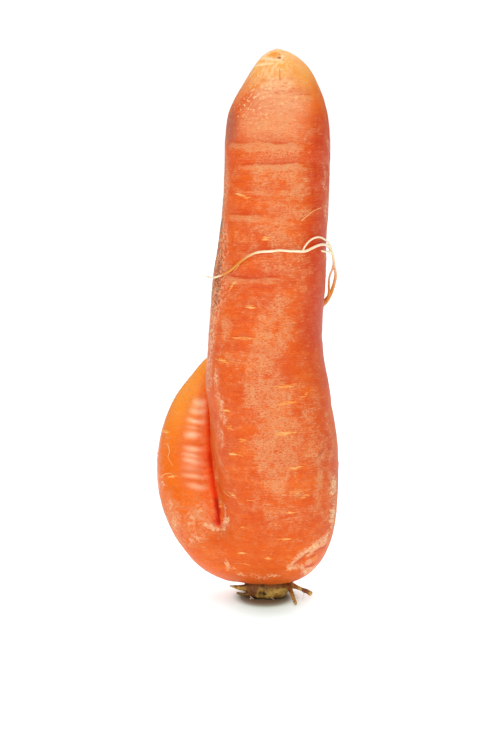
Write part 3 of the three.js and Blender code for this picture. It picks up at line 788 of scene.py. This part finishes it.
def fork_colours(paint):
    """The end of the slit: painted dark red shade down it and in its pit, with a pale flaky rim."""
    flaky = paint.flaky()
    paint.lay("cream", paint.line(FORK_RIM, 0.8, 2.4), flaky, 0.85)
    paint.lay("cream", paint.line(FORK_CRUMBS, 0.7, 4.0), flaky, 0.6)
    # Painted dark red shade down the slit and in its pit.
    paint.lay("cleft_shade", paint.line(FORK_SHADE, 2.6, 1.4), 0.85)
    paint.lay("maroon", paint.line(FORK_PIT, 1.5, 1.2), 0.95)


def foot_colours(paint):
    """The torn skin at the foot: pale ragged bands with red cracks between them."""
    paint.lay("chalk", paint.spot(FOOT_PINK, 1.4), 0.5)
    paint.lay("amber", paint.spot(FOOT_YELLOW, 1.4), 0.3)
    flaky = paint.flaky()
    for width, strength, places in FOOT_BANDS:
        paint.lay("cream", paint.line(places, width, 4.0), flaky, strength)
    for places in FOOT_CRACKS:
        paint.lay("red", paint.line(places, 0.5, 1.4), 0.7)


def skin_film(paint):
    """The dry film on the skin: pale sheets with combed edges and cracks, and loose crumbs round them."""
    dust = paint.field("dust")
    combed = paint.swing((2.8, 2.8, 0.3), 3.0, 4, 0.65, 1.0)
    lumpy = paint.swing((4.5, 4.5, 5.0), 8.0, 4, 0.65)
    sheets = paint.plus(dust, paint.times(combed, 2.2), paint.times(lumpy, 3.0))
    sheets = paint.step(sheets, 0.25, 1.05)
    specks = paint.step(paint.noise((0.65, 0.65, 0.4), 1.0, 3, 0.65), 0.42, 0.62)
    net = paint.inverse(paint.step(paint.cracks((1.3, 1.3, 0.7), 5.0), 0.02, 0.2))
    clusters = paint.step(paint.noise((3.6, 3.6, 2.4), 33.0, 4, 0.7), 0.46, 0.62)
    dots = paint.times(paint.step(paint.noise((1.1, 1.1, 0.8), 19.0, 2, 0.6), 0.64, 0.7), clusters)
    grains = paint.math("MAXIMUM", specks, net)
    crumbs = paint.times(grains, clusters, paint.plus(0.16, paint.times(dust, 0.2)))
    lines = paint.times(paint.step(combed, 0.04, 0.16), 0.22)
    film = paint.times(sheets, paint.plus(0.07, paint.times(grains, 0.56)))
    return paint.plus(film, crumbs, lines, paint.times(dots, 0.36))


def film_colours(paint, film):
    """Pale film over the flesh, and red pores."""
    pores = paint.step(paint.noise((0.8, 0.8, 0.4), 37.0, 3, 0.65), 0.54, 0.68)
    paint.lay("peach", paint.math("MINIMUM", film, 0.95))
    paint.lay("red", pores, 0.3)


def flank_colours(paint, streaky):
    """Crumbs on the flanks, and painted highlights on the ribs' crests with painted red shade in the grooves
    between them.
    """
    crumbly = paint.step(paint.noise((1.1, 1.1, 0.9), 41.0, 4, 0.7), 0.44, 0.6)
    paint.lay("chalk", paint.field("rime"), paint.plus(0.05, paint.times(crumbly, 0.8)))
    # Painted red shade in the grooves between the ribs.
    paint.lay("red", paint.field("groove_shade"), 0.18)
    # Painted highlights on the ribs' crests.
    paint.lay("rib_highlight", paint.field("rib"), paint.plus(0.92, paint.times(streaky, 1.2)))


def flake_colours(paint, flakes):
    """The flaky patches, pale with red splits."""
    splits = paint.inverse(paint.step(paint.cracks((4.0, 4.0, 1.6), 9.0), 0.02, 0.12))
    paint.lay("cream", flakes, 0.72)
    paint.lay("red", splits, paint.step(paint.field("flake"), 0.1, 0.5), 0.5)


def crease_colours(paint, streaky):
    """The growth creases: a painted highlight on the pale lip below, painted red shade above and painted red
    shade in the fold.
    """
    # Painted highlight on the lip below each crease, and painted shade above it and in its fold.
    paint.lay("peach", paint.broken("lip", streaky, 2.2, 0.2, 1.0), 0.48)
    paint.lay("red", paint.field("ring"), 0.36)
    paint.lay("red", paint.broken("crease", streaky, 1.4, 0.3, 0.95), 0.5)


def stain_colours(paint):
    """Brown specks of dirt, and the dull bruise."""
    grit = paint.swing((0.7, 0.7, 0.6), 27.0, 3, 0.7)
    paint.lay("dirt", paint.broken("dirt", grit, 3.0, 0.66, 0.9), 0.85)
    paint.lay("bruise", paint.broken("bruise", grit, 1.2, 0.15, 1.05), 0.8)


def skin_surface(paint, film, marks, flakes):
    """The skin's sheen, a painted red glow deep in the slit, and its finest relief."""
    rough = paint.plus(0.4, paint.times(film, 0.3), paint.times(paint.field("dust"), 0.1))
    rough = paint.math("SUBTRACT", rough, paint.times(paint.field("gloss"), 0.2))
    paint.set(Base_Color=paint.base, Roughness=rough, Specular_IOR_Level=0.18)
    paint.set(Subsurface_Weight=0.35, Subsurface_Scale=0.0025, Subsurface_Radius=(1.0, 0.25, 0.08))
    # A painted red glow deep in the slit, as if light came through the flesh.
    paint.set(Emission_Color=(0.6, 0.06, 0.015, 1), Emission_Strength=paint.times(paint.field("deep"), 0.42))
    fine = paint.noise((1.1, 1.1, 0.5), 4.0, 4, 0.6)
    wrinkles = paint.noise((7, 7, 0.8), 6.0, 5, 0.6, 0.4)
    height = paint.plus(paint.times(wrinkles, 0.8), paint.times(film, 0.25), paint.times(fine, 0.35))
    height = paint.plus(height, paint.times(marks, 0.3), paint.times(flakes, 0.2))
    paint.bump(height, 0.16, 0.7)


def skin_material():
    """The carrot's skin, painted from the flesh up."""
    paint = Paint("carrot_skin", "orange")
    film = skin_film(paint)
    streaky = paint.swing((2.6, 2.6, 0.34), 7.0, 4, 0.6, 0.6)
    scaly = paint.swing((2.0, 2.0, 1.0), 11.0, 5, 0.72, 1.0)
    marks = paint.broken("mark", streaky, 2.0, 0.46, 0.7)
    cores = paint.broken("mark", streaky, 2.4, 0.74, 1.0)
    flakes = paint.broken("flake", scaly, 3.0, 0.4, 0.8)
    skin_colours(paint)
    film_colours(paint, film)
    tip_colours(paint)
    flank_colours(paint, streaky)
    paint.lay("amber", marks, 0.75)
    paint.lay("cream", cores, 0.6)
    flake_colours(paint, flakes)
    crease_colours(paint, streaky)
    stain_colours(paint)
    fork_colours(paint)
    foot_colours(paint)
    skin_surface(paint, film, marks, flakes)
    return paint.material


def crown_material():
    """The crown: olive and straw leaf bases with brown fibres, with painted shade and grime at the cut and
    near-black in its pit.
    """
    paint = Paint("crown_bark", "olive")
    fibres = paint.noise((1.6, 1.6, 3.4), 2.0, 5, 0.6, 0.4)
    blotches = paint.noise(2.4, 5.0, 4)
    fine = paint.noise(0.35, 9.0, 4)
    streaks = paint.step(paint.noise((0.7, 0.7, 3.4), 13.0, 4, 0.65), 0.46, 0.6)
    paint.lay("leaf", paint.step(blotches, 0.42, 0.58))
    paint.lay("straw", paint.step(fine, 0.46, 0.62), 0.6)
    paint.lay("bark", paint.step(fibres, 0.5, 0.62), 0.7)
    paint.lay("bark", paint.field("brown"), 0.85)
    paint.lay("husk", paint.field("brown"), streaks, 0.75)
    paint.lay("node", paint.field("knot"))
    # Near-black in the crown's pit.
    paint.lay("grime_and_shade", paint.line(CROWN_PIT, 0.95, 0.8), 0.92)
    # Painted shade at the cut where the crown stands, with grime.
    paint.lay("grime_and_shade", paint.field("grime_and_shade"))
    paint.set(Base_Color=paint.base, Roughness=paint.plus(0.5, paint.times(fine, 0.3)))
    paint.bump(paint.plus(fibres, paint.times(fine, 0.4)), 0.3, 0.8)
    return paint.material


def root_material(name, stain):
    """Pale root fibre, stained in places."""
    paint = Paint(name, "cream")
    fibres = paint.noise((2.5, 2.5, 0.4), 2.0, 4)
    paint.lay("root", paint.step(fibres, 0.3, 0.7))
    paint.lay(stain, paint.field("amber"))
    paint.set(Base_Color=paint.base, Roughness=0.42, Subsurface_Weight=0.15, Subsurface_Scale=0.001)
    paint.bump(fibres, 0.1, 0.6)
    return paint.material


# ---- the skin


def slit_shift(at):
    """How far the slit's two sides move to bring it in towards the main root, in mm."""
    shift = np.interp(at.height, *zip(*SLIT_SHIFT))
    flank = (1 - at.on_side) * fade(np.abs(wrapped(at.turn - 180)), 15, 60)
    wall = at.on_side * fade(at.gap, 0.5, 3.0)
    return shift * (0.6 * wall - flank)


def skin_relief(at):
    """How far the skin stands out or in beyond the solid, in mm."""
    creases, _, _ = crease_lines(at)
    wrinkles = grain(at.points, (11, 11, 1.9), seed=1)
    wrinkles *= 0.4 + 0.6 * smooth(grain(at.points, 15, seed=2), -0.3, 0.4)
    calm = 1 - SLIT_CALM * at.in_slit
    relief = LUMPS * grain(at.points, 8, seed=5) + GRAIN * grain(at.points, 2.6, seed=6)
    fill = SLIT_FILL * at.gap * at.above * fade(at.gap, 1.2, 3.0)
    relief += at.ribs()[1] + fill / np.maximum(calm, 0.1)
    relief += WRINKLES * wrinkles
    relief += CORKY_RISE * smooth(at.marks, 0.3, 0.7) - creases
    relief += FLAKY_RISE * smooth(at.flakes + 0.3 * grain(at.points, 1.8, seed=7), 0.4, 0.7)
    return relief * calm + slit_shift(at)


def tip_share(at):
    """The pale flesh of the tip, with a wavering lower edge."""
    right_side = smooth(at.turn, -85, -50)
    edge = at.height - 0.3 * right_side + 2.4 * grain(at.points, 5, seed=8) + 0.2 * at.drift
    return smooth(edge, 148, 160)


def dust_share(at, right_flank, tip):
    """How dusty the skin is: mostly down the front, little on the right flank and less at the foot."""
    dusty = 0.14 + at.band(DUSTY_BAND, 0.3)
    for strength, zone in DUSTY_ZONES:
        dusty = dusty + strength * at.zone(*zone)
    behind = smooth(np.abs(at.turn + 90), 60, 90)
    dusty = dusty + 0.35 * smooth(grain(at.points, 18, seed=15), 0.1, 0.5) * behind
    dusty = dusty * (1 - 0.7 * right_flank) * (1 - tip) - 0.45 * fade(at.height, 10, 26)
    side_foot = at.on_side * fade(at.height, 24, 36) * smooth(at.height, 8, 16)
    return np.clip(dusty * (1 - 0.8 * at.on_side) + 0.4 * side_foot, -0.5, 1)


def rime_share(at, patchy):
    """How crumbly the skin is: down the left, at the right edge and low on the side root."""
    rime = 0.85 * at.band(LEFT_BAND, 0.5) + 1.2 * patchy * at.band(CRUMB_BAND, 0.3)
    right_edge = smooth(grain(at.points, 9, seed=23), -0.3, 0.3) * at.zone(-13, 22, 104, 148)
    rime = rime + 1.1 * patchy * right_edge
    rime = rime + 0.85 * at.cones([], SIDE_CRUMBS) * (0.6 + patchy)
    return np.clip(rime * (1 - at.in_slit), 0, 1)


def sunny_share(at):
    """Where the flesh is brighter: up the side root, round the foot and right of the tip."""
    sunny = 0.8 * at.on_side * smooth(at.height, 14, 40) + 0.25 * fade(at.height, 14, 30)
    return np.clip(sunny + 0.7 * at.zone(-36, 40, 146, 158, 4), 0, 1)


def groove_share(at, rise):
    """Painted red shade in the grooves between the ribs."""
    ribbed = smooth(at.height, 32, 35) * fade(at.height, 59, 62) * at.on_side
    facing = fade(np.abs(wrapped(at.side_turn + 88)), 18, 34)
    return ribbed * fade(rise, 0.02, 0.09) * facing


def skin_fields(at):
    """The numbers that the skin's material reads: shares from 0 to 1, and dust from -0.5."""
    creases, lips, rings = crease_lines(at)
    crest, rise = at.ribs()
    tip = tip_share(at)
    right_flank = np.clip(at.zone(-22, 52, 74, 143) + 0.3 * at.zone(-20, 40, 30, 74), 0, 1) * (1 - tip)
    patchy = smooth(grain(at.points, (2.6, 2.6, 4.0), seed=21), -0.25, 0.35)
    dirt_height = 0.45 + 0.45 * smooth(at.height, 82, 94)
    return {
        # Painted shade on the right flank.
        "right_shade": 0.75 * right_flank,
        "sunny": sunny_share(at),
        "yolk": at.on_side * smooth(at.height, 40, 64) * (1 - at.in_slit),
        "pale": 0.6 * at.zone(-89, 50, 146, 156, 4) + 0.25 * at.zone(-96, 50, 138, 146, 4),
        "tip": 0.9 * tip,
        "honey": 0.85 * smooth(np.abs(wrapped(at.turn + 140 + 2.5 * at.drift)), 40, 90),
        # Painted shade in the slit: red deep in it, darker where its walls close, which also sets a painted
        # red glow.
        "slit": 0.85 * at.in_slit,
        "deep": at.above * fade(at.gap, 0.1, 1.4),
        "dust": dust_share(at, right_flank, tip),
        "dots": at.zone(-122, 30, 144, 158, 3),
        "rime": rime_share(at, patchy),
        # Painted highlights on the ribs' crests, and painted shade in the grooves between them.
        "rib": crest,
        "groove_shade": groove_share(at, rise),
        "mark": at.marks,
        "flake": at.flakes,
        # Painted shade in the creases' folds and above them, and a painted highlight on the lip below.
        "crease": np.clip(creases / CREASE_DEPTH, 0, 1),
        "lip": np.clip(lips, 0, 1),
        "ring": np.clip(rings, 0, 1),
        "dirt": at.band(LEFT_BAND, 0.4) * dirt_height * (0.7 + 0.3 * patchy),
        "bruise": np.clip(1.3 * at.cone(*BRUISE), 0, 0.8) + at.cone(*SCAR),
        "gloss": at.on_side * smooth(at.height, 28, 34),
    }


def build_skin(node, material):
    """The taproot's skin, with its relief and the numbers that its material reads."""
    piece = refined(node, "carrot_skin")
    mesh = piece.data
    at = Places(points_of(mesh))
    for name, values in skin_fields(at).items():
        keep_field(mesh, name, values)
    raise_skin(mesh, skin_relief(at))
    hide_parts("taproot")
    return finish_piece(piece, material)


# ---- the crown and the rootlet


def build_crown(node, material):
    """The crown's stub, browner at its sheaths, partly as painted shade under the carrot's shoulder, and at
    its stalks' joints, with painted shade and some grime at the cut.
    """
    piece = refined(node, "crown_stub")
    mesh = piece.data
    points = points_of(mesh)
    x, _, z = points.T
    ragged = 0.5 * grain(points, 1.4, seed=18)
    brown_lobe = fade(np.abs(x + 5.2 + ragged), 1.2, 1.9)
    # Sheaths browner, partly as painted shade under the carrot's shoulder.
    sheath = smooth(z + 0.3 * (x > 4) * (x - 4) + ragged, 3.2, 3.9) * fade(x, 6.4, 7.6)
    stalk_knot = fade(np.abs(x - 10.8), 0.7, 1.1)
    stalk_foot = fade(np.abs(x - 7.2), 0.7, 1.6)
    grimy = smooth(grain(points, (1.6, 1.6, 0.9), seed=20), 0.0, 0.4)
    left_peg = fade(x, -7.0, -6.4) * fade(z, 1.7, 2.1)
    # Painted shade at the cut where the crown stands on the floor, with grime and the dark left peg.
    cut = fade(z, 0.1, 0.9)
    keep_field(mesh, "brown", np.clip(brown_lobe + sheath + 0.3 * stalk_foot, 0, 1))
    keep_field(mesh, "knot", 0.85 * stalk_knot)
    keep_field(mesh, "grime_and_shade", np.clip(0.8 * cut + 0.3 * grimy + 0.7 * left_peg, 0, 0.85))
    fibres = 0.14 * grain(points, (1.1, 1.1, 3.0), seed=11) + 0.06 * grain(points, 0.6, seed=12)
    raise_skin(mesh, smooth(z, 0.2, 0.9) * fibres)
    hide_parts("crown")
    return finish_piece(piece, material)


def build_rootlet(node, material):
    """The rootlet, stained at its base and towards its left end."""
    piece = refined(node, "rootlet_strands")
    mesh = piece.data
    points = points_of(mesh)
    x, _, z = points.T
    left = smooth(x, -15.5, -13.5) * fade(x, -8.5, -2)
    base = smooth(x, 13, 15) * fade(z + 1.5 * grain(points, 3, seed=19), 93, 106)
    keep_field(mesh, "amber", np.clip(left + base, 0, 1))
    raise_skin(mesh, 0.05 * grain(points, 1.2, seed=13) + 0.03 * grain(points, (0.5, 0.5, 0.3), seed=14))
    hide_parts("rootlet")
    return finish_piece(piece, material)


# ---- fine hairs


def side_axis(height):
    """x and y of the side root's middle at a height."""
    x, y, z, _ = zip(*SIDE_ROOT[1:])
    return np.interp(height, z, x), np.interp(height, z, y)


def on_skin(skin, angle, height, side, lift):
    """The place on the skin at an angle and height, raised off it by so many mm."""
    middle_x, middle_y = side_axis(height) if side else main_axis(height)
    depth_share = 1.0 if side else DEPTH_SHARE
    turn = math.radians(angle)
    out = Vector((math.cos(turn), depth_share * math.sin(turn), 0)).normalized()
    start = (Vector((middle_x, middle_y, height)) + 60 * out) * MM
    _, place, normal, _ = skin.ray_cast(start, -out)
    return place / MM + lift * normal


def build_hairs(skin, material):
    """Thin root hairs that cling to the skin, and the rootlet's own free ends."""
    strands = list(FREE_HAIRS)
    for side, radius, places in SKIN_HAIRS:
        points = [on_skin(skin, angle, height, side, 0.7 * radius) for angle, height in places]
        strands.append((radius, points))
    piece = tubes_piece("fine_hairs", strands)
    x, _, z = points_of(piece.data).T
    free_end = smooth(z, 85, 92) * fade(x, -16, -13)
    keep_field(piece.data, "amber", 0.8 * (1 - free_end))
    return finish_piece(piece, material)


def build_crown_hairs(material):
    """Fine hairs round the crown."""
    piece = tubes_piece("crown_hairs", CROWN_HAIRS)
    keep_field(piece.data, "amber", np.zeros(len(piece.data.vertices)))
    return finish_piece(piece, material)


# ---- stage, lights and camera


def build_stage():
    """A plain pale floor, with a painted shadow round and under the crown."""
    bpy.ops.mesh.primitive_plane_add(size=FLOOR_SIZE)
    floor = bpy.context.object
    floor.name = "floor"
    paint = Paint("pale_floor", "floor_light")
    cloud = paint.noise(180, 1.0, 2)
    # Painted shadow on the floor: dark brown where the crown stands, and less glow with a cool tint round
    # it.
    contact_shadow = paint.spot(CONTACT_SPOT, core=0.45)
    painted_shade = paint.spot(SHADE_SPOT, core=0.1)
    paint.lay("floor_shade", cloud)
    paint.lay("shadow_tint", painted_shade)
    paint.lay("contact_shadow", contact_shadow, 0.9)
    paint.set(Base_Color=paint.base, Roughness=0.85)
    shade = paint.plus(contact_shadow, paint.times(painted_shade, SHADE))
    glow = paint.times(paint.inverse(paint.math("MINIMUM", shade, 1.0)), FLOOR_GLOW)
    paint.set(Emission_Color=(1, 1, 1, 1), Emission_Strength=glow)
    floor.data.materials.append(paint.material)


def add_light(name, kind):
    """A lamp and the object that carries it."""
    lamp = bpy.data.lights.new(name, kind)
    return lamp, in_scene(name, lamp)


def build_world():
    """A white world that the camera sees brighter than it lights the carrot."""
    world = bpy.data.worlds.new("studio")
    world.use_nodes = True
    nodes = world.node_tree.nodes
    links = world.node_tree.links
    background = nodes["Background"]
    background.inputs["Color"].default_value = (1, 1, 1, 1)
    strength = nodes.new("ShaderNodeMapRange")
    strength.inputs["To Min"].default_value = WORLD_LIGHT
    strength.inputs["To Max"].default_value = WORLD_SEEN
    path = nodes.new("ShaderNodeLightPath")
    links.new(path.outputs["Is Camera Ray"], strength.inputs["Value"])
    links.new(strength.outputs["Result"], background.inputs["Strength"])
    bpy.context.scene.world = world


def build_lights():
    """A broad soft sun overhead, and lamps at the front."""
    sky, overhead = add_light("overhead", "SUN")
    power, spread, tilt = OVERHEAD
    sky.energy = power
    sky.angle = math.radians(spread)
    overhead.rotation_euler = (math.radians(tilt), 0, 0)
    for name, place, width, power in LAMPS:
        lamp, light = add_light(name, "AREA")
        lamp.size = width
        lamp.energy = power
        light.location = place
        light.rotation_euler = (Vector(LAMP_AIM) - light.location).to_track_quat("-Z", "Y").to_euler()


def build_camera():
    """A level-headed view from the front, a little above the carrot's middle."""
    data = bpy.data.cameras.new("camera")
    data.sensor_fit = "VERTICAL"
    data.sensor_height = SENSOR
    data.lens = CAMERA_DISTANCE / PIXEL * SENSOR / PICTURE_HEIGHT
    camera = in_scene("camera", data)
    tilt = math.radians(CAMERA_ELEVATION)
    back = Vector((0, -math.cos(tilt), math.sin(tilt)))
    camera.location = (Vector(CAMERA_TARGET) + back * CAMERA_DISTANCE) * MM
    camera.rotation_euler = (-back).to_track_quat("-Z", "Y").to_euler()
    bpy.context.scene.camera = camera


# ---- the scene

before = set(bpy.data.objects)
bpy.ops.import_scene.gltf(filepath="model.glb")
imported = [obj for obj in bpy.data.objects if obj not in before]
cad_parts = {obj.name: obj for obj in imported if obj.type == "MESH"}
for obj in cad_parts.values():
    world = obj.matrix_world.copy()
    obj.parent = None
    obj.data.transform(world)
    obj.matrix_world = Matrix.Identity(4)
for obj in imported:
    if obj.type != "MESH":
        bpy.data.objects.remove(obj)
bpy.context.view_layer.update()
build_camera()
skin = build_skin(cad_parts["taproot"], skin_material())
build_crown(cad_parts["crown"], crown_material())
fibre = root_material("root_fibre", "root_amber")
hair = root_material("hair_fibre", "amber")
build_rootlet(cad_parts["rootlet"], fibre)
build_hairs(skin, hair)
build_crown_hairs(hair)
build_stage()
build_world()
build_lights()
bpy.context.scene.view_settings.view_transform = "Standard"
